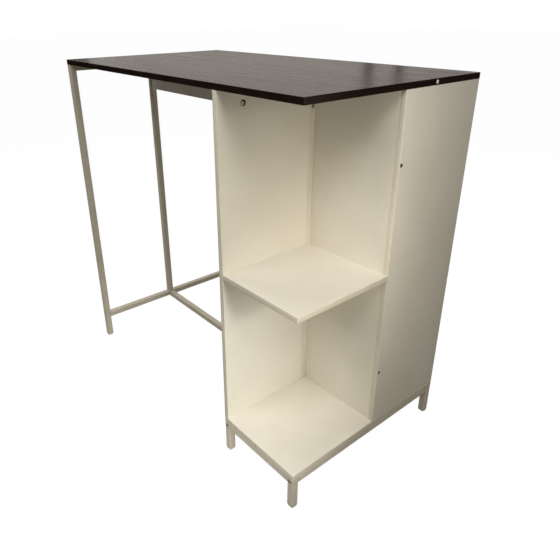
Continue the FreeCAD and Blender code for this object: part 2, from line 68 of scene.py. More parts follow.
class Axis(Enum):
    """Direction that the outer end of a fitting faces."""

    RIGHT = Vector((1, 0, 0))
    LEFT = Vector((-1, 0, 0))
    BACK = Vector((0, 1, 0))
    FRONT = Vector((0, -1, 0))
    UP = Vector((0, 0, 1))
    DOWN = Vector((0, 0, -1))


class Recess(Enum):
    """Shape that a driver fits in."""

    HEXAGON = "hexagon"
    SLOT = "slot"


def linear(code: str) -> tuple[float, float, float, float]:
    """Turn an sRGB hex colour into a linear one.

    Args:
        code: six hex digits after a hash sign.

    Returns:
        Red, green, blue and an alpha of 1.
    """
    parts = [int(code[i : i + 2], 16) / 255 for i in (1, 3, 5)]
    red, green, blue = [c / 12.92 if c <= 0.04045 else ((c + 0.055) / 1.055) ** 2.4 for c in parts]
    return red, green, blue, 1.0


def per_metre(size_mm: float) -> float:
    """Give the texture scale whose pattern has about this size in millimetres."""
    return 1.0 / (size_mm * MM)


def main_number(way: Vector) -> int:
    """Give the number, 0 to 2, of the axis that a direction runs along."""
    return max(range(3), key=lambda i: abs(way[i]))


def add_node(
    tree: bpy.types.NodeTree,
    kind: str,
    settings: dict[str | int, object] | None = None,
    links: dict[str | int, Socket] | None = None,
) -> bpy.types.Node:
    """Add a node to a tree.

    Args:
        tree: the tree that gets the node.
        kind: the node's type name.
        settings: values of its properties, or of its input sockets by name or number.
        links: input sockets by name or number, and the output socket that feeds each.

    Returns:
        The new node.
    """
    node = tree.nodes.new(kind)
    for name, value in (settings or {}).items():
        if isinstance(name, str) and hasattr(node, name):
            setattr(node, name, value)
        else:
            node.inputs[name].default_value = value
    for name, source in (links or {}).items():
        tree.links.new(source, node.inputs[name])
    return node


@dataclass(frozen=True)
class Spots:
    """A soft pattern of spots or streaks, laid on a piece in the table's own coordinates."""

    size_mm: float
    stretch: Point = (1.0, 1.0, 1.0)
    detail: float = 3.0
    low: float = 0.35
    high: float = 0.7
    shift: Point = (0.0, 0.0, 0.0)

    def lay(self, tree: bpy.types.NodeTree) -> Socket:
        """Add the pattern to a material.

        Args:
            tree: the material's tree.

        Returns:
            0 between the spots, 1 on them.
        """
        scale = tuple(per_metre(self.size_mm) / part for part in self.stretch)
        where = add_node(tree, "ShaderNodeTexCoord").outputs["Object"]
        mapping = add_node(tree, "ShaderNodeMapping", {"Scale": scale, "Location": self.shift}, {"Vector": where})
        spots = add_node(tree, "ShaderNodeTexNoise", {"Scale": 1.0, "Detail": self.detail},
                         {"Vector": mapping.outputs[0]})
        return add_node(tree, "ShaderNodeMapRange", {"From Min": self.low, "From Max": self.high},
                        {"Value": spots.outputs[0]}).outputs["Result"]


@dataclass(frozen=True)
class Finish:
    """What every finish has: its name and the numbers that are the same all over it."""

    name: str
    roughness: float
    metallic: float = 0.0

    def start(self) -> tuple[bpy.types.Material, bpy.types.NodeTree, bpy.types.Node]:
        """Make an empty material.

        Returns:
            The material, its tree and its shader.
        """
        material = bpy.data.materials.new(self.name)
        material.use_nodes = True
        shader = material.node_tree.nodes["Principled BSDF"]
        shader.inputs["Roughness"].default_value = self.roughness
        shader.inputs["Metallic"].default_value = self.metallic
        return material, material.node_tree, shader

    def colours(self, tree: bpy.types.NodeTree, base: str, *layers: tuple[Socket, str]) -> Socket:
        """Lay colours over each other.

        Args:
            tree: the material's tree.
            base: hex code of the lowest colour.
            layers: a mask from 0 to 1 and the hex code of each colour above it.

        Returns:
            The finished colour's socket.
        """
        colour = None
        for mask, code in layers:
            below = {MIX_A: colour} if colour else {}
            colour = add_node(tree, "ShaderNodeMix", {"data_type": "RGBA", MIX_A: linear(base), MIX_B: linear(code)},
                              {0: mask} | below).outputs[MIX_RESULT]
        return colour

    def rounded(self, tree: bpy.types.NodeTree, radius_mm: float) -> Socket:
        """Give the way the surface faces once its sharp edges have this radius."""
        settings = {"samples": BEVEL_SAMPLES, "Radius": radius_mm * MM}
        return add_node(tree, "ShaderNodeBevel", settings).outputs["Normal"]

    def edge_wear_and_highlight(self, tree: bpy.types.NodeTree, rounded: Socket) -> Socket:
        """Find a piece's sharp edges, where hands and cloths rub it and where, on the boards and the tubes, a painted
        highlight stands for the light that a rounded edge catches.

        Args:
            tree: the material's tree.
            rounded: the way its surface faces with its edges rounded as far as the wear and the painted highlight
                reach.

        Returns:
            1 right at an edge, 0 on a flat face.
        """
        flat = add_node(tree, "ShaderNodeNewGeometry").outputs["Normal"]
        dot = add_node(tree, "ShaderNodeVectorMath", {"operation": "DOT_PRODUCT"}, {0: flat, 1: rounded})
        return add_node(tree, "ShaderNodeMapRange", {"From Min": FACE_DOT, "From Max": EDGE_DOT},
                        {"Value": dot.outputs["Value"]}).outputs["Result"]

    def surface(self, tree: bpy.types.NodeTree, shader: bpy.types.Node, colour: Socket, height: Socket,
                depth_mm: float, rounded: Socket | None = None) -> None:
        """Join a colour and a fine relief to the shader.

        Args:
            tree: the material's tree.
            shader: its shader.
            colour: the finished colour.
            height: the relief's pattern, 0 to 1.
            depth_mm: the relief's height.
            rounded: the way the surface faces with its edges rounded, where that shows.
        """
        tree.links.new(colour, shader.inputs["Base Color"])
        under = {"Normal": rounded} if rounded else {}
        bump = add_node(tree, "ShaderNodeBump", {"Distance": depth_mm * MM}, {"Height": height} | under)
        tree.links.new(bump.outputs[0], shader.inputs["Normal"])

    def sheen_drift(self, tree: bpy.types.NodeTree, shader: bpy.types.Node, pattern: Socket, spread: float) -> None:
        """Let the gloss drift a little from place to place.

        Args:
            tree: the material's tree.
            shader: its shader.
            pattern: 0 where the surface is glossier, 1 where it is duller.
            spread: how far the roughness moves.
        """
        drift = add_node(tree, "ShaderNodeMapRange",
                         {"To Min": self.roughness - spread, "To Max": self.roughness + spread}, {"Value": pattern})
        tree.links.new(drift.outputs["Result"], shader.inputs["Roughness"])


@dataclass(frozen=True)
class MelamineBoard(Finish):
    """Melamine-faced particle board: resin-soaked paper pressed on with a pearl plate.

    The eye sees an even cream skin with a satin sheen, a very fine pearl, and slightly lighter edges: partly rubbed
    wear, partly a painted highlight where an edge catches light.
    """

    colour: str = "#ece8de"
    cloud: str = "#e6e1d5"
    # lighter edge colour: partly rubbed wear, partly a painted highlight along each edge
    wear_and_highlight: str = "#f3f0e7"
    clouds: Spots = Spots(160.0)
    pearl: Spots = Spots(2.2, detail=1.0)  # the real pearl is under 1 mm, too fine for this render: drawn coarser
    pearl_depth: float = 0.02
    gloss: Spots = Spots(45.0, shift=(3.0, 1.0, 2.0))
    gloss_spread: float = 0.05
    edge_mm: float = 0.8

    def build(self) -> bpy.types.Material:
        """Make the material.

        Returns:
            The material.
        """
        material, tree, shader = self.start()
        edges = self.edge_wear_and_highlight(tree, self.rounded(tree, self.edge_mm))
        tone = self.colours(tree, self.colour, (self.clouds.lay(tree), self.cloud), (edges, self.wear_and_highlight))
        self.surface(tree, shader, tone, self.pearl.lay(tree), self.pearl_depth)
        self.sheen_drift(tree, shader, self.gloss.lay(tree), self.gloss_spread)
        return material


@dataclass(frozen=True)
class WoodgrainTop(Finish):
    """Melamine printed as wenge: dark paper under a satin resin skin.

    The eye sees long brown streaks along the table, fine dark pores, and above all the room mirrored in the skin.
    """

    dark: str = "#21140f"
    brown: str = "#47291f"
    streak: str = "#2e1a14"
    light: str = "#5e3b2e"
    pore: str = "#120a07"
    figure: Spots = Spots(34.0, (14.0, 1.0, 1.0), detail=4.0, low=0.42)
    streaks: Spots = Spots(6.0, (40.0, 1.0, 1.0), detail=5.0, low=0.38, high=0.64)
    fine: Spots = Spots(2.0, (60.0, 1.0, 1.0), low=0.5, high=0.74, shift=(0.3, 0.7, 0.0))
    # Real pores are under 0.3 mm wide; they are drawn coarser so that they show.
    pores: Spots = Spots(1.6, (30.0, 1.0, 1.0), detail=2.0, low=0.6, shift=(1.0, 4.0, 0.0))
    pore_depth: float = 0.02
    gloss_spread: float = 0.035

    def build(self) -> bpy.types.Material:
        """Make the material.

        Returns:
            The material.
        """
        material, tree, shader = self.start()
        streaks, pores = self.streaks.lay(tree), self.pores.lay(tree)
        tone = self.colours(tree, self.dark, (self.figure.lay(tree), self.brown), (streaks, self.streak),
                            (self.fine.lay(tree), self.light), (pores, self.pore))
        self.surface(tree, shader, tone, pores, -self.pore_depth)
        self.sheen_drift(tree, shader, streaks, self.gloss_spread)
        return material


@dataclass(frozen=True)
class WoodgrainBand(Finish):
    """ABS edge band printed to match the top: extruded, glued on and scraped flush.

    The eye sees an almost black strip with hair-fine lighter lines along it and a paler scraped corner.
    """

    dark: str = "#0d0503"
    line: str = "#2e170e"
    scraped: str = "#54423a"
    # The lines are hair-fine to the eye; they are drawn coarser so that they show.
    lines: Spots = Spots(2.4, (40.0, 1.0, 1.0), low=0.5, high=0.68)
    line_depth: float = 0.02
    scrape_mm: float = 0.9
    specular: float = 0.25

    def build(self) -> bpy.types.Material:
        """Make the material.

        Returns:
            The material.
        """
        material, tree, shader = self.start()
        lines = self.lines.lay(tree)
        shader.inputs["Specular IOR Level"].default_value = self.specular
        rounded = self.rounded(tree, self.scrape_mm)
        tone = self.colours(tree, self.dark, (lines, self.line), (self.edge_wear_and_highlight(tree, rounded), self.scraped))
        self.surface(tree, shader, tone, lines, self.line_depth, rounded)
        return material


@dataclass(frozen=True)
class PowderCoat(Finish):
    """Beige powder coat: sprayed on steel tube and baked.

    The eye sees a soft sheen broken up by orange peel, and lighter corners on the tube: partly a thinner, rubbed coat,
    partly a painted highlight along each rounded corner.
    """

    colour: str = "#c6bfb0"
    cloud: str = "#beb7a7"
    # lighter corner colour: partly rubbed wear, partly a painted highlight
    rubbed_and_highlight: str = "#d3cdc0"
    clouds: Spots = Spots(60.0)
    peel: Spots = Spots(1.8, detail=2.0)  # the real peel is about 1 mm; drawn coarser so that it shows
    peel_depth: float = 0.04
    corner_mm: float = 3.0  # the corners have a radius of 2 mm; drawn wider so that their light line shows, from the rounded shading and the painted highlight

    def build(self) -> bpy.types.Material:
        """Make the material.

        Returns:
            The material.
        """
        material, tree, shader = self.start()
        rounded = self.rounded(tree, self.corner_mm)
        tone = self.colours(tree, self.colour, (self.clouds.lay(tree), self.cloud),
                            (self.edge_wear_and_highlight(tree, rounded), self.rubbed_and_highlight))
        self.surface(tree, shader, tone, self.peel.lay(tree), self.peel_depth, rounded)
        return material


@dataclass(frozen=True)
class MouldedPlastic(Finish):
    """Injection-moulded polyethylene or ABS.

    The eye sees an even colour with a spark-eroded grain and scuffs that have gone paler.
    """

    colour: str = "#e9e3dc"
    scuff: str = "#f4f0ea"
    scuffs: Spots = Spots(9.0, detail=6.0, low=0.55, high=0.85)
    grain: Spots = Spots(0.8, detail=1.0)  # the mould's real grain is about 0.1 mm; drawn coarser so that it shows
    grain_depth: float = 0.03
    edge_mm: float = 0.6

    def build(self) -> bpy.types.Material:
        """Make the material.

        Returns:
            The material.
        """
        material, tree, shader = self.start()
        edges = self.edge_wear_and_highlight(tree, self.rounded(tree, self.edge_mm))
        tone = self.colours(tree, self.colour, (self.scuffs.lay(tree), self.scuff), (edges, self.scuff))
        self.surface(tree, shader, tone, self.grain.lay(tree), self.grain_depth)
        return material


@dataclass(frozen=True)
class PlatedSteel(Finish):
    """Zinc or nickel plate on cold-headed steel, or bare die-cast zinc.

    The eye sees grey metal with fine, darker smears.
    """

    colour: str = "#a3a19a"
    grime: str = "#5a544a"
    smears: Spots = Spots(2.5, detail=5.0, low=0.45, high=0.75)
    grit: Spots = Spots(0.5, detail=2.0)  # the plate's real grain is finer still; drawn coarser so that it shows
    grit_depth: float = 0.02

    def build(self) -> bpy.types.Material:
        """Make the material.

        Returns:
            The material.
        """
        material, tree, shader = self.start()
        tone = self.colours(tree, self.colour, (self.smears.lay(tree), self.grime))
        self.surface(tree, shader, tone, self.grit.lay(tree), self.grit_depth)
        return material


@dataclass(frozen=True)
class BareParticleBoard(Finish):
    """Raw particle board where the skin is chipped: the eye sees light and dark wood chips."""

    chip: str = "#8a6a48"
    glue: str = "#4a3423"
    chips: Spots = Spots(0.8, (2.0, 1.0, 1.0), low=0.4, high=0.6)
    chip_depth: float = 0.1

    def build(self) -> bpy.types.Material:
        """Make the material.

        Returns:
            The material.
        """
        material, tree, shader = self.start()
        chips = self.chips.lay(tree)
        self.surface(tree, shader, self.colours(tree, self.glue, (chips, self.chip)), chips, self.chip_depth)
        return material


@dataclass(frozen=True)
class StudioPaper(Finish):
    """Seamless white background paper, overexposed for the camera as in a cut-out product picture.

    The eye sees an almost white floor that the table's own shade darkens only a little.
    """

    colour: str = "#b7b4ae"
    fibre: str = "#b1aea8"
    fibres: Spots = Spots(12.0)
    seen_share: float = 0.08
    seen_glow: float = 0.985

    def build(self) -> bpy.types.Material:
        """Make the material.

        Returns:
            The material.
        """
        material, tree, shader = self.start()
        tone = self.colours(tree, self.colour, (self.fibres.lay(tree), self.fibre))
        tree.links.new(tone, shader.inputs["Base Color"])
        glow = add_node(tree, "ShaderNodeEmission", {"Strength": self.seen_glow / (1.0 - self.seen_share)})
        bright = add_node(tree, "ShaderNodeMixShader", {0: self.seen_share},
                          {1: glow.outputs[0], 2: shader.outputs[0]})
        seen = add_node(tree, "ShaderNodeLightPath").outputs["Is Camera Ray"]
        both = add_node(tree, "ShaderNodeMixShader", links={0: seen, 1: shader.outputs[0], 2: bright.outputs[0]})
        tree.links.new(both.outputs[0], tree.nodes["Material Output"].inputs["Surface"])
        return material


@dataclass
class Palette:
    """The table's materials, each made once."""

    board: bpy.types.Material = field(init=False)
    edging: bpy.types.Material = field(init=False)
    top: bpy.types.Material = field(init=False)
    band_along: bpy.types.Material = field(init=False)
    band_across: bpy.types.Material = field(init=False)
    tube: bpy.types.Material = field(init=False)
    base: bpy.types.Material = field(init=False)
    post: bpy.types.Material = field(init=False)
    cap: bpy.types.Material = field(init=False)
    bolt: bpy.types.Material = field(init=False)
    screw: bpy.types.Material = field(init=False)
    cup: bpy.types.Material = field(init=False)
    cam: bpy.types.Material = field(init=False)
    plug: bpy.types.Material = field(init=False)
    chip: bpy.types.Material = field(init=False)

    def __post_init__(self) -> None:
        """Build every finish."""
        self.board = MelamineBoard("cream_melamine", 0.42).build()
        self.edging = MelamineBoard("cream_abs_edging", 0.36, colour="#e4decf", cloud="#ddd7c7").build()
        self.top = WoodgrainTop("wenge_melamine", 0.26).build()
        self.band_along = WoodgrainBand("wenge_abs_band_along", 0.4).build()
        across = Spots(2.4, (1.0, 40.0, 1.0), low=0.5, high=0.68)
        self.band_across = WoodgrainBand("wenge_abs_band_across", 0.4, lines=across).build()
        self.tube = PowderCoat("beige_powder_coat", 0.42).build()
        # the base frame: a copy of the tube coat, painted lighter as a stand-in for the stronger light on it
        self.base = PowderCoat("beige_powder_coat_painted_lighter", 0.42, colour="#dcd5c6", cloud="#d5cebe", rubbed_and_highlight="#e9e4d8").build()
        # the cabinet post: a copy of the tube coat, painted as light as the boards as a stand-in for the light that
        # falls on it
        self.post = PowderCoat("beige_powder_coat_painted_light_post", 0.42, colour="#e6e0d2", cloud="#dfd9ca", rubbed_and_highlight="#efebe0").build()
        self.cap = MouldedPlastic("pale_polyethylene", 0.5).build()
        self.bolt = PlatedSteel("zinc_plated_steel", 0.38, 1.0).build()
        # the screw heads' dark colour: partly dark nickel plate, partly painted shade round the heads
        self.screw = PlatedSteel("dark_nickel_steel_with_painted_shade", 0.4, 1.0, colour="#5b574c", grime="#2c281f").build()
        # the cam lock cups are painted dark as the shade inside their dished recess
        self.cup = PlatedSteel("zinc_painted_dark_as_shade", 0.5, 1.0, colour="#2f2b24", grime="#15120e").build()
        # the bosses: light zinc, painted brighter still as a highlight
        self.cam = PlatedSteel("die_cast_zinc_painted_highlight", 0.6, 1.0, colour="#efebdf", grime="#b9b4a4").build()
        self.plug = MouldedPlastic("white_abs", 0.3, colour="#f2f2f0", scuff="#dddcd8").build()
        self.chip = BareParticleBoard("bare_particle_board", 0.8).build()


def dress(names: list[str], material: bpy.types.Material) -> None:
    """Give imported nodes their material.

    Args:
        names: the nodes' names.
        material: the material for all their slots.
    """
    for name in names:
        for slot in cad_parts[name].material_slots:
            slot.material = material


def finish_piece(
    name: str,
    shape: bmesh.types.BMesh,
    material: bpy.types.Material,
    replaced: tuple[str, ...] = (),
    sharp_degrees: float = 35.0,
) -> None:
    """Turn a shape into a piece of the table that rides on its body.

    Args:
        name: the piece's name.
        shape: its mesh under construction, in place; it is freed.
        material: its material.
        replaced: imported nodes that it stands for.
        sharp_degrees: angle from which an edge stays sharp.
    """
    bmesh.ops.recalc_face_normals(shape, faces=shape.faces)
    mesh = bpy.data.meshes.new(name)
    shape.to_mesh(mesh)
    shape.free()
    mesh.shade_smooth()
    mesh.set_sharp_from_angle(angle=math.radians(sharp_degrees))
    mesh.materials.append(material)
    piece = bpy.data.objects.new(name, mesh)
    bpy.context.scene.collection.objects.link(piece)
    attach(piece, BODY)
    if replaced:
        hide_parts(*replaced)
    LOG.info("%s: %d faces", name, len(mesh.polygons))


def facing(place: Point, axis: Axis) -> Matrix:
    """Give the transform that brings a fitting, whose outer end faces +Z at its origin, to its place.

    Args:
        place: where its outer end goes.
        axis: the way its outer end faces.

    Returns:
        The transform.
    """
    turn = Vector((0, 0, 1)).rotation_difference(axis.value).to_matrix().to_4x4()
    return Matrix.Translation(place) @ turn


def add_shape(shape: bmesh.types.BMesh, part: bmesh.types.BMesh, place: Matrix) -> None:
    """Add a copy of one shape to another.

    Args:
        shape: the shape that gets it.
        part: the shape to copy, which stays as it is.
        place: the copy's transform.
    """
    mesh = bpy.data.meshes.new("part")
    part.to_mesh(mesh)
    mesh.transform(place)
    shape.from_mesh(mesh)
    bpy.data.meshes.remove(mesh)


def gather(master: bmesh.types.BMesh, places: list[Matrix]) -> bmesh.types.BMesh:
    """Copy one shape to several places.

    Args:
        master: the shape; it is freed.
        places: a transform for each copy.

    Returns:
        One shape that holds all the copies.
    """
    together = bmesh.new()
    for place in places:
        add_shape(together, master, place)
    master.free()
    return together


def round_off(shape: bmesh.types.BMesh, edges: list[bmesh.types.BMEdge], radius_mm: float, facets: int) -> None:
    """Round some edges of a shape.

    Args:
        shape: the shape.
        edges: the edges.
        radius_mm: their radius.
        facets: how many facets each gets.
    """
    bmesh.ops.bevel(shape, geom=edges, offset=radius_mm * MM, affect="EDGES", segments=facets, profile=0.5,
                    material=-1)


def block(shape: bmesh.types.BMesh, low: Vector, high: Vector, round_mm: float) -> None:
    """Add a block with rounded edges to a shape.

    Args:
        shape: the shape that gets it.
        low: its lowest corner.
        high: its highest corner.
        round_mm: radius of its edges.
    """
    place = Matrix.Translation((low + high) / 2) @ Matrix.Diagonal((*(high - low), 1.0))
    made = bmesh.ops.create_cube(shape, size=1.0, matrix=place)
    edges = dict.fromkeys(edge for vert in made["verts"] for edge in vert.link_edges)
    round_off(shape, list(edges), round_mm, BLOCK_FACETS)


def solid_boxes(node: str) -> list[tuple[Vector, Vector]]:
    """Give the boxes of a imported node's separate solids.

    Args:
        node: the node's name.

    Returns:
        The lowest and highest corner of each solid.
    """
    shape = bmesh.new()
    shape.from_mesh(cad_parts[node].data)
    bmesh.ops.remove_doubles(shape, verts=shape.verts, dist=TOUCH)
    left = dict.fromkeys(shape.verts)
    boxes = []
    while left:
        heap, island = [left.popitem()[0]], []
        while heap:
            vert = heap.pop()
            island.append(vert.co.copy())
            for edge in vert.link_edges:
                other = edge.other_vert(vert)
                if other in left:
                    del left[other]
                    heap.append(other)
        boxes.append((Vector(map(min, zip(*island))), Vector(map(max, zip(*island)))))
    shape.free()
    return boxes


def driver_outline(shape: bmesh.types.BMesh, recess: Recess, size_mm: float) -> list[bmesh.types.BMEdge]:
    """Draw the outline of a driver recess in the XY plane, round the origin.

    Args:
        shape: the shape that gets the outline.
        recess: its form.
        size_mm: the hexagon's width across flats, or the slot's length.

    Returns:
        The outline's edges, a closed loop.
    """
    if recess is Recess.HEXAGON:
        corners = [Vector((math.cos(math.pi * i / 3), math.sin(math.pi * i / 3), 0)) / math.sqrt(3) for i in range(6)]
    else:
        long, wide = 0.5, 0.08  # half the slot's sides, as shares of its length
        corners = [Vector((x, y, 0)) for x, y in ((-long, -wide), (long, -wide), (long, wide), (-long, wide))]
    verts = [shape.verts.new(corner * size_mm * MM) for corner in corners]
    return [shape.edges.new((vert, verts[(i + 1) % len(verts)])) for i, vert in enumerate(verts)]


@dataclass(frozen=True)
class Fitting:
    """A turned metal or plastic fitting with a driver recess; its outer face is at the origin and faces +Z.

    Lengths are in mm.
    """

    radius: float
    depth: float
    crown: float = 0.6
    recess: Recess = Recess.HEXAGON
    recess_size: float = 3.0
    recess_depth: float = 1.4
    dish: float = 0.0
    shank_radius: float = 0.0
    shank_length: float = 0.0
    steps: int = 36
    mouth_share: float = 0.62
    crown_share: float = 0.3
    lip: float = 0.8
    lip_foot: float = 1.0

    def outline(self) -> list[tuple[float, float]]:
        """Draw the outline to turn, from the ring round the recess to the axis.

        Returns:
            Pairs of radius and height.
        """
        flat = self.radius - self.crown
        slope = self.crown_share * self.crown
        points = [(self.recess_size * self.mouth_share, -self.dish)]
        if self.dish:
            points += [(flat - self.lip_foot, -self.dish), (flat - self.lip, 0.0)]
        points += [(flat, 0.0), (self.radius - slope, -slope), (self.radius, -self.crown), (self.radius, -self.depth)]
        if self.shank_length:
            points += [(self.shank_radius, -self.depth), (self.shank_radius, -self.depth - self.shank_length)]
        return points + [(0.0, points[-1][1])]

    def shape(self) -> bmesh.types.BMesh:
        """Turn the outline and sink the recess.

        Returns:
            The fitting's mesh under construction.
        """
        shape = bmesh.new()
        points = [shape.verts.new((radius * MM, 0, height * MM)) for radius, height in self.outline()]
        chain = [shape.edges.new(pair) for pair in zip(points, points[1:])]
        bmesh.ops.spin(shape, geom=points + chain, axis=(0, 0, 1), cent=(0, 0, 0), angle=2 * math.pi,
                       steps=self.steps, use_merge=True)
        bmesh.ops.remove_doubles(shape, verts=shape.verts, dist=TOUCH)
        inner = [edge for edge in shape.edges if edge.is_boundary]
        mouth = driver_outline(shape, self.recess, self.recess_size)
        verts = list(dict.fromkeys(vert for edge in mouth for vert in edge.verts))
        bmesh.ops.translate(shape, verts=verts, vec=(0, 0, -self.dish * MM))
        bmesh.ops.bridge_loops(shape, edges=inner + mouth)
        sunk = bmesh.ops.extrude_edge_only(shape, edges=mouth)["geom"]
        floor_verts = [part for part in sunk if isinstance(part, bmesh.types.BMVert)]
        floor_edges = [part for part in sunk if isinstance(part, bmesh.types.BMEdge)]
        bmesh.ops.translate(shape, verts=floor_verts, vec=(0, 0, -self.recess_depth * MM))
        bmesh.ops.contextual_create(shape, geom=floor_edges)
        return shape


@dataclass
class Tabletop:
    """The dark top: its laminate, its four edge bands and the white plug in its right edge; lengths in mm."""

    palette: Palette
    plug_proud: float = 0.2
    plug: Fitting = Fitting(4.5, 11.8, crown=0.8, recess=Recess.SLOT, recess_size=4.0, recess_depth=0.3)

    def build(self) -> None:
        """Dress the top and make its plug."""
        dress(["table_top"], self.palette.top)
        dress(["top_band_front", "top_band_back"], self.palette.band_along)
        dress(["top_band_left", "top_band_right"], self.palette.band_across)
        low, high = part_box("edge_plug")
        middle = (Vector(low) + Vector(high)) / 2
        place = facing((high[0] + self.plug_proud * MM, middle.y, middle.z), Axis.RIGHT)
        shape = gather(self.plug.shape(), [place])
        finish_piece("edge_plug_cap", shape, self.palette.plug, ("edge_plug",))


@dataclass
class Carcass:
    """The cream boards of the cabinet and the apron, with the edging on their open edges; lengths in mm."""

    palette: Palette
    edging_proud: float = 0.15
    edging_sunk: float = 0.4
    edging_round: float = 0.12
    edging_inset: float = 0.35
    chip_along: float = 138.0
    chip_up: float = 5.5
    chip_size: Point = (5.0, 0.6, 3.2)

    BANDED: ClassVar[dict[str, tuple[Axis, ...]]] = {
        "left_panel": (Axis.FRONT,),
        "right_panel": (Axis.FRONT, Axis.BACK),
        "divider_panel": (Axis.LEFT,),
        "front_shelf": (Axis.FRONT, Axis.RIGHT),
        "back_shelf": (Axis.BACK, Axis.LEFT),
        "bottom_board": (Axis.FRONT, Axis.BACK, Axis.LEFT, Axis.RIGHT),
        "apron_board": (Axis.DOWN,),
    }

    def strip(self, shape: bmesh.types.BMesh, node: str, axis: Axis) -> None:
        """Add the edging of one edge of a board.

        Args:
            shape: the shape that gets the strip.
            node: the board.
            axis: the way the edge faces.
        """
        low, high = (Vector(corner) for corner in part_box(node))
        number = main_number(axis.value)
        for i in range(3):
            if i != number:
                low[i] += self.edging_inset * MM
                high[i] -= self.edging_inset * MM
        if axis.value[number] > 0:
            low[number] = high[number] - self.edging_sunk * MM
            high[number] += self.edging_proud * MM
        else:
            high[number] = low[number] + self.edging_sunk * MM
            low[number] -= self.edging_proud * MM
        block(shape, low, high, self.edging_round)

    def chip(self) -> None:
        """Make the small chip in the bottom board's front edge."""
        corner = Vector(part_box("bottom_board")[0])
        shape = bmesh.new()
        place = Matrix.Translation(corner + Vector((self.chip_along, -self.edging_proud, self.chip_up)) * MM)
        size = Matrix.Diagonal((*(Vector(self.chip_size) * MM), 1.0))
        bmesh.ops.create_icosphere(shape, subdivisions=2, radius=0.5, matrix=place @ size)
        finish_piece("edge_chip", shape, self.palette.chip)

    def build(self) -> None:
        """Dress the boards and make their edging."""
        dress(list(self.BANDED), self.palette.board)
        for node, axes in self.BANDED.items():
            shape = bmesh.new()
            for axis in axes:
                self.strip(shape, node, axis)
            finish_piece(node + "_edging", shape, self.palette.edging)
        self.chip()


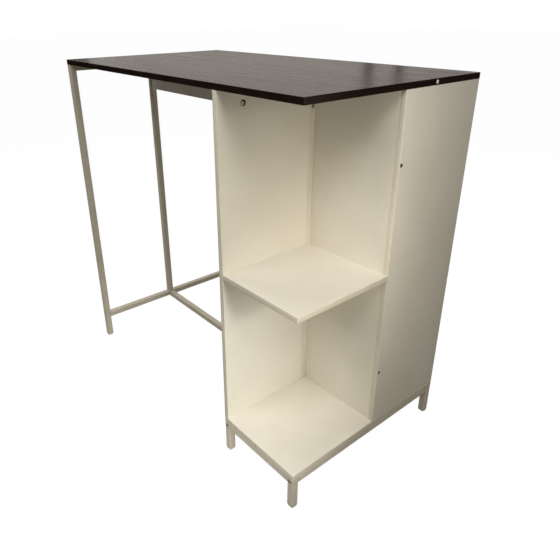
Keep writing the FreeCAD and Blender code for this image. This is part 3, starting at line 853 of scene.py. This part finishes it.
@dataclass
class TubeFrame:
    """The powder-coated tubes, their weld beads and their foot caps; lengths in mm."""

    palette: Palette
    bead_radius: float = 1.3
    bead_sides: int = 10
    bead_rings: int = 24
    bead_ripple: float = 0.16
    bead_tip: float = 0.35
    tip_power: int = 8
    ripple_pitch: float = 2.4
    corner_inset: float = 2.6
    cap_side: float = 19.8
    cap_height: float = 4.0
    cap_corner: float = 5.0
    cap_edge: float = 1.3
    cap_facets: int = 4
    plug_side: float = 17.0
    plug_corner: float = 1.0

    SIDE: ClassVar[list[str]] = ["front_left_leg", "back_left_leg", "upper_side_rail", "lower_side_rail",
                                 "middle_post", "centre_stretcher"]
    BASE: ClassVar[list[str]] = ["base_leg_front_left", "base_leg_front_right", "base_leg_back_left",
                                 "base_leg_back_right", "base_front_rail", "base_back_rail", "base_left_rail",
                                 "base_right_rail"]

    def bead(self, shape: bmesh.types.BMesh, start: Vector, end: Vector) -> None:
        """Add a rippled weld bead along a corner.

        Args:
            shape: the shape that gets it.
            start: one end of the corner.
            end: the other end.
        """
        run = end - start
        turn = Vector((0, 0, 1)).rotation_difference(run).to_matrix().to_4x4()
        rings = bmesh.new()
        radius = self.bead_radius * MM
        bmesh.ops.create_cone(rings, cap_ends=True, segments=self.bead_sides, radius1=radius, radius2=radius,
                              depth=run.length)
        edges = [edge for edge in rings.edges if edge.calc_length() > run.length - radius]
        bmesh.ops.subdivide_edges(rings, edges=edges, cuts=self.bead_rings, use_grid_fill=False)
        for vert in rings.verts:
            phase = 2 * math.pi * vert.co.z / (self.ripple_pitch * MM)
            fade = math.sqrt(max(0.0, 1 - (2 * vert.co.z / run.length) ** self.tip_power))
            swell = (1 + self.bead_ripple * math.sin(phase)) * (self.bead_tip + (1 - self.bead_tip) * fade)
            vert.co.x *= swell
            vert.co.y *= swell
        add_shape(shape, rings, Matrix.Translation((start + end) / 2) @ turn)
        rings.free()

    def corner(self, shape: bmesh.types.BMesh, node: str, end: Axis, side: Axis) -> None:
        """Add the bead where one side of a tube's end meets another tube.

        Args:
            shape: the shape that gets it.
            node: the tube that ends there.
            end: the tube's end.
            side: the side of that end.
        """
        low, high = (Vector(corner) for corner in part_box(node))
        middle = (low + high) / 2
        for axis in (end, side):
            number = main_number(axis.value)
            middle[number] = high[number] if axis.value[number] > 0 else low[number]
        number = main_number(end.value.cross(side.value))
        offset = Vector((0, 0, 0))
        offset[number] = (high[number] - low[number]) / 2 - self.corner_inset * MM
        self.bead(shape, middle - offset, middle + offset)

    def beads(self, name: str, joints: list[tuple[str, Axis, Axis]], material: bpy.types.Material) -> None:
        """Make the weld beads of one frame.

        Args:
            name: the piece's name.
            joints: each tube, the end of it that is welded, and the side of that end where the bead shows.
            material: the frame's paint.
        """
        shape = bmesh.new()
        for node, end, side in joints:
            self.corner(shape, node, end, side)
        finish_piece(name, shape, material, sharp_degrees=60.0)

    def caps(self) -> None:
        """Make the foot caps: each a square foot with round corners and a plug inside the tube."""
        boxes = solid_boxes("foot_caps")
        shape = bmesh.new()
        half, height = self.cap_side / 2 * MM, self.cap_height * MM
        place = Matrix.Translation((0, 0, height / 2)) @ Matrix.Diagonal((2 * half, 2 * half, height, 1))
        bmesh.ops.create_cube(shape, size=1.0, matrix=place)
        for radius, reach in ((self.cap_corner, height), (self.cap_edge, 0.0)):  # upright edges, then the sole's
            heights = [(edge, edge.verts[0].co.z, edge.verts[1].co.z) for edge in shape.edges]
            edges = [edge for edge, one, two in heights
                     if abs(one + two - reach) < TOUCH and abs(abs(one - two) - reach) < TOUCH]
            round_off(shape, edges, radius, self.cap_facets)
        half, top = self.plug_side / 2 * MM, boxes[0][1].z - boxes[0][0].z
        block(shape, Vector((-half, -half, height / 2)), Vector((half, half, top)), self.plug_corner)
        places = [Matrix.Translation(((low.x + high.x) / 2, (low.y + high.y) / 2, low.z)) for low, high in boxes]
        finish_piece("foot_plugs", gather(shape, places), self.palette.cap, ("foot_caps",))

    def build(self) -> None:
        """Dress the tubes and make the caps and the weld beads."""
        dress(self.SIDE, self.palette.tube)
        dress(self.BASE, self.palette.base)
        dress(["cabinet_post"], self.palette.post)
        self.caps()
        joints = [("upper_side_rail", end, Axis.DOWN) for end in (Axis.FRONT, Axis.BACK)]
        joints += [("lower_side_rail", end, side) for end in (Axis.FRONT, Axis.BACK) for side in (Axis.UP, Axis.DOWN)]
        joints += [("middle_post", end, side) for end in (Axis.UP, Axis.DOWN) for side in (Axis.FRONT, Axis.BACK)]
        joints += [("centre_stretcher", Axis.LEFT, side) for side in (Axis.UP, Axis.DOWN)]
        self.beads("side_frame_welds", joints, self.palette.tube)
        joints = [("base_" + side + "_rail", end, Axis.DOWN) for side in ("left", "right")
                  for end in (Axis.FRONT, Axis.BACK)]
        joints += [("base_" + side + "_rail", end, Axis.DOWN) for side in ("front", "back")
                   for end in (Axis.LEFT, Axis.RIGHT)]
        self.beads("base_frame_welds", joints, self.palette.base)


@dataclass
class Fasteners:
    """The fittings: socket bolts, cam locks, panel screws, cam bolts and barrel nuts; lengths in mm."""

    palette: Palette
    bolt_radius: float = 4.75
    bolt_head: float = 2.4
    bolt_crown: float = 0.8
    bolt_shank: float = 2.5
    frame_bolt_length: float = 22.0
    apron_bolt_length: float = 62.0
    cup: Fitting = Fitting(7.2, 12.5, crown=0.4, recess_size=6.0, recess_depth=1.5, dish=1.6)
    boss: Fitting = Fitting(4.6, 1.6, crown=0.5, recess_size=4.2)
    boss_place: Point = (1.1, -1.1, -0.5)
    screw: Fitting = Fitting(4.7, 3.6, crown=0.4, recess_size=4.0, recess_depth=2.6, shank_radius=3.0,
                             shank_length=46.4)

    def outer(self, box: tuple[Vector, Vector], axis: Axis) -> Matrix:
        """Give the place of a fitting whose outer face is one side of a box.

        Args:
            box: the fitting's box.
            axis: the way its outer face looks.

        Returns:
            The transform that brings it there.
        """
        low, high = box
        place = (low + high) / 2
        number = main_number(axis.value)
        place[number] = high[number] if axis.value[number] > 0 else low[number]
        return facing(tuple(place), axis)

    def bolt(self, length: float = 0.0) -> Fitting:
        """Describe a socket bolt with a shank of this length, or only its head."""
        return Fitting(self.bolt_radius, self.bolt_head, self.bolt_crown, shank_radius=self.bolt_shank,
                       shank_length=length)

    def bolts(self) -> None:
        """Make the socket bolts of the base legs, the apron and the stretcher."""
        fronts = solid_boxes("frame_bolts")
        places = [self.outer(box, Axis.FRONT) for box in fronts]
        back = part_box("base_leg_back_left")[1][1] + self.bolt_head * MM
        places += [facing(((low.x + high.x) / 2, back, (low.z + high.z) / 2), Axis.BACK) for low, high in fronts]
        shape = gather(self.bolt(self.frame_bolt_length).shape(), places)
        finish_piece("frame_socket_bolts", shape, self.palette.bolt, ("frame_bolts",))
        places = [self.outer(box, Axis.LEFT if box[1].x < 0 else Axis.RIGHT) for box in solid_boxes("apron_bolts")]
        shape = gather(self.bolt(self.apron_bolt_length).shape(), places)
        finish_piece("apron_socket_bolts", shape, self.palette.bolt, ("apron_bolts",))
        low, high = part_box("centre_stretcher")
        line = ((low[1] + high[1]) / 2, (low[2] + high[2]) / 2)
        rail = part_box("lower_side_rail")[0][0]
        shape = gather(self.bolt().shape(), [facing((rail - self.bolt_head * MM, *line), Axis.LEFT)])
        finish_piece("stretcher_bolt_head", shape, self.palette.screw)

    def cams(self) -> None:
        """Make the cam locks: a dished cup painted dark as the shade in its recess, and an off-centre boss of light
        zinc, painted brighter still as a highlight, that the driver's hole goes through.
        """
        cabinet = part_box("bottom_board")
        middle = (cabinet[0][0] + cabinet[1][0]) / 2
        places = [self.outer(box, Axis.RIGHT if box[0].x < middle else Axis.LEFT) for box in solid_boxes("cam_locks")]
        sunk = Matrix.Translation(Vector(self.boss_place) * MM)
        cups = gather(self.cup.shape(), places)
        finish_piece("cam_lock_cups", cups, self.palette.cup, ("cam_locks",))
        bosses = gather(self.boss.shape(), [place @ sunk for place in places])
        finish_piece("cam_lock_bosses", bosses, self.palette.cam)

    def panel_screws(self) -> None:
        """Make the two screws of the right panel, flush in its face."""
        places = [self.outer(box, Axis.RIGHT) for box in solid_boxes("confirmat_screws")]
        shape = gather(self.screw.shape(), places)
        finish_piece("panel_screws", shape, self.palette.screw, ("confirmat_screws",))

    def nuts(self) -> None:
        """Dress the barrel nuts and the cam bolts."""
        dress(["barrel_nuts", "cam_bolts"], self.palette.bolt)

    def build(self) -> None:
        """Make all the fasteners."""
        self.bolts()
        self.cams()
        self.panel_screws()
        self.nuts()


@dataclass(frozen=True)
class Lamp:
    """One lamp: a soft square panel, or a soft-edged beam where it has a cone; lengths in metres."""

    name: str
    place: Point
    target: Point
    watts: float
    size: float
    cone_degrees: float = 0.0
    height: float = 0.0
    colour: str = "#fffaf1"

    def hang(self) -> None:
        """Put the lamp in the scene."""
        kind = "SPOT" if self.cone_degrees else "AREA"
        data = bpy.data.lights.new(self.name, kind)
        data.energy = self.watts
        data.color = linear(self.colour)[:3]
        if self.cone_degrees:
            data.spot_size = math.radians(self.cone_degrees)
            data.spot_blend = 1.0
            data.shadow_soft_size = self.size
        else:
            data.shape = "RECTANGLE"
            data.size = self.size
            data.size_y = self.height or self.size
        lamp = bpy.data.objects.new(self.name, data)
        lamp.location = self.place
        lamp.rotation_euler = (Vector(self.target) - Vector(self.place)).to_track_quat("-Z", "Y").to_euler()
        lamp.visible_camera = False
        bpy.context.scene.collection.objects.link(lamp)


def towards(target: Point, azimuth: float, elevation: float, distance: float) -> Point:
    """Give a point at a distance and direction from another.

    Args:
        target: the other point.
        azimuth: degrees from +X towards +Y.
        elevation: degrees above the floor.
        distance: metres.

    Returns:
        The point.
    """
    across, up = math.radians(azimuth), math.radians(elevation)
    way = Vector((math.cos(up) * math.cos(across), math.cos(up) * math.sin(across), math.sin(up)))
    return tuple(Vector(target) + way * distance)


@dataclass
class Studio:
    """The pale floor, the soft light and the camera; lengths in metres, angles in degrees."""

    floor_size: float = 60.0
    floor_cells: int = 8
    surround: float = 0.03
    middle: Point = (0.1, -0.05, 0.55)
    low_corner: Point = (0.277, -0.32, 0.2)
    high_corner: Point = (0.277, -0.32, 0.5)
    cabinet: Point = (0.45, 0.1, 0.55)
    panel_edge: Point = (0.55, 0.0, 0.9)
    low_edge: Point = (0.55, 0.0, 0.5)
    key_colour: str = "#fffef9"
    fill_colour: str = "#fff7e4"
    wall_azimuth: float = 128.0
    wall_elevation: float = 10.0
    wall_distance: float = 3.6
    wall_spans: tuple[tuple[float, float], ...] = ((-2.6, -0.515), (-0.445, -0.265), (-0.185, 2.4))
    wall_height: float = 1.3
    wall_glow: float = 1.74
    camera_place: Point = (1.26397, -1.00008, 1.19304)
    azimuth: float = 50.6732
    elevation: float = 25.0245
    roll: float = 0.4988
    focal_pixels: float = 535.506
    centre: tuple[float, float] = (255.375, 257.583)
    image_pixels: float = 560.0
    sensor_mm: float = 36.0
    farthest: float = 100.0

    def world(self) -> None:
        """Show white behind the floor's far edge, and light the room only a little."""
        world = bpy.data.worlds.new("studio")
        bpy.context.scene.world = world
        world.use_nodes = True
        tree = world.node_tree
        shader = tree.nodes["Background"]
        seen = add_node(tree, "ShaderNodeLightPath").outputs["Is Camera Ray"]
        strength = add_node(tree, "ShaderNodeMapRange", {"To Min": self.surround, "To Max": 1.0}, {"Value": seen})
        tree.links.new(strength.outputs["Result"], shader.inputs["Strength"])
        shader.inputs["Color"].default_value = (1.0, 1.0, 1.0, 1.0)

    def floor(self) -> None:
        """Lay the floor."""
        shape = bmesh.new()
        bmesh.ops.create_grid(shape, x_segments=self.floor_cells, y_segments=self.floor_cells,
                              size=self.floor_size / 2)
        mesh = bpy.data.meshes.new("studio_floor")
        shape.to_mesh(mesh)
        shape.free()
        mesh.materials.append(StudioPaper("seamless_paper", 0.9).build())
        floor = bpy.data.objects.new("studio_floor", mesh)
        bpy.context.scene.collection.objects.link(floor)

    def back_wall(self) -> list[Lamp]:
        """Make the low pale wall that the top mirrors: panels side by side, with two dark gaps between them.

        Returns:
            The panels, from right to left.
        """
        middle = Vector(towards(self.middle, self.wall_azimuth, self.wall_elevation, self.wall_distance))
        turn = math.radians(self.wall_azimuth)
        along = Vector((-math.sin(turn), math.cos(turn), 0.0))
        panels = []
        for number, (start, end) in enumerate(self.wall_spans, start=1):
            place = middle + along * (start + end) / 2
            watts = self.wall_glow * (end - start) * self.wall_height
            target = Vector(self.middle) + along * (start + end) / 2
            panels.append(Lamp(f"wall_panel_{number}", tuple(place), tuple(target), watts, end - start,
                               height=self.wall_height))
        return panels

    def lamps(self) -> None:
        """Hang the lamps: panels all round, small ones close to the right panel, and beams into the cabinet."""
        middle, cabinet, edge = self.middle, self.cabinet, self.panel_edge
        low, high, key, fill = self.low_corner, self.high_corner, self.key_colour, self.fill_colour
        for lamp in (
            Lamp("front_panel", towards(middle, -90, 45, 3.0), middle, watts=37.0, size=1.8),
            Lamp("left_panel_light", towards(middle, 180, 45, 3.0), middle, watts=33.9, size=1.8),
            Lamp("back_left_panel", towards(middle, 135, 45, 3.0), middle, watts=11.6, size=1.8),
            Lamp("behind_panel", towards(middle, 84, 20, 3.0), middle, watts=20.6, size=1.0),
            *self.back_wall(),
            Lamp("over_camera", (1.15, -0.55, 1.8), cabinet, watts=4.56, size=0.4, colour=key),
            Lamp("high_right", towards(cabinet, -30, 60, 2.0), cabinet, watts=2.88, size=0.5, colour=key),
            Lamp("by_shelf", (1.1, -0.3, 0.7), cabinet, watts=0.61, size=0.25, colour=fill),
            Lamp("near_high", (0.95, -0.25, 1.25), edge, watts=0.22, size=0.15, colour=fill),
            Lamp("near_edge", (0.85, -0.12, 1.0), edge, watts=0.23, size=0.15, colour=fill),
            Lamp("near_low", (0.95, -0.25, 0.7), self.low_edge, watts=0.3, size=0.15, colour=fill),
            Lamp("low_beam", towards(low, -18, 24, 1.8), low, watts=67.2, size=0.12, cone_degrees=24.0, colour=key),
            Lamp("wide_beam", towards(high, -4, 24, 1.8), high, watts=22.9, size=0.12, cone_degrees=40.0,
                 colour=fill),
        ):
            lamp.hang()

    def camera(self) -> None:
        """Set the camera where the photograph was taken from."""
        az, el, roll = (math.radians(angle) for angle in (self.azimuth, self.elevation, self.roll))
        ahead = Vector((-math.sin(az) * math.cos(el), math.cos(az) * math.cos(el), -math.sin(el)))
        right = Vector((math.cos(az), math.sin(az), 0.0))
        down = ahead.cross(right)
        across = right * math.cos(roll) + down * math.sin(roll)
        below = down * math.cos(roll) - right * math.sin(roll)
        turn = Matrix((across, -below, -ahead)).transposed().to_4x4()
        data = bpy.data.cameras.new("photo_camera")
        data.sensor_width = self.sensor_mm
        data.lens = self.focal_pixels / self.image_pixels * self.sensor_mm
        middle = (self.image_pixels - 1) / 2
        data.shift_x = (middle - self.centre[0]) / self.image_pixels
        data.shift_y = (self.centre[1] - middle) / self.image_pixels
        data.clip_end = self.farthest
        camera = bpy.data.objects.new("photo_camera", data)
        camera.matrix_world = Matrix.Translation(self.camera_place) @ turn
        bpy.context.scene.collection.objects.link(camera)
        bpy.context.scene.camera = camera

    def build(self) -> None:
        """Set up the studio."""
        bpy.context.scene.view_settings.view_transform = "Standard"
        self.world()
        self.floor()
        self.lamps()
        self.camera()


def main() -> None:
    """Build the dressed table and its studio."""
    logging.basicConfig(level=logging.INFO)
    palette = Palette()
    for part in (Tabletop(palette), Carcass(palette), TubeFrame(palette), Fasteners(palette), Studio()):
        LOG.info("building %s", type(part).__name__)
        part.build()


if __name__ == "__main__":
    main()
